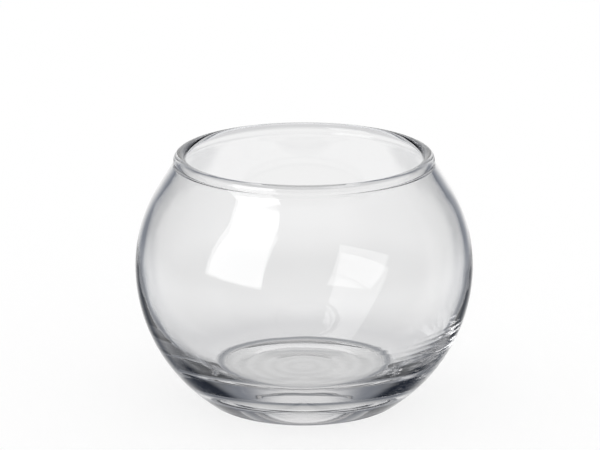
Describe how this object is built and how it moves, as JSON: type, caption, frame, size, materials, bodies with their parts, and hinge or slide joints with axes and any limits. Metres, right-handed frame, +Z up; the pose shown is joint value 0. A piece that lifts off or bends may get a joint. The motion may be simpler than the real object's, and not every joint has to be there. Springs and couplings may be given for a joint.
{
  "type": "rose bowl vase",
  "caption": "Round clear glass rose bowl with an inward neck, a rounded open mouth, a thick base and a flat foot ring.",
  "frame": {"origin": "centre of the foot ring, on the surface that the bowl stands on", "axes": "+Z up along the bowl's axis of revolution, out of the mouth; X and Y are any two directions across it"},
  "size_m": [0.1, 0.1, 0.0745],
  "materials": {
    "clear_glass": "polished"
  },
  "bodies": {
    "root": {"glass_bowl": "clear_glass"}
  },
  "joints": []
}
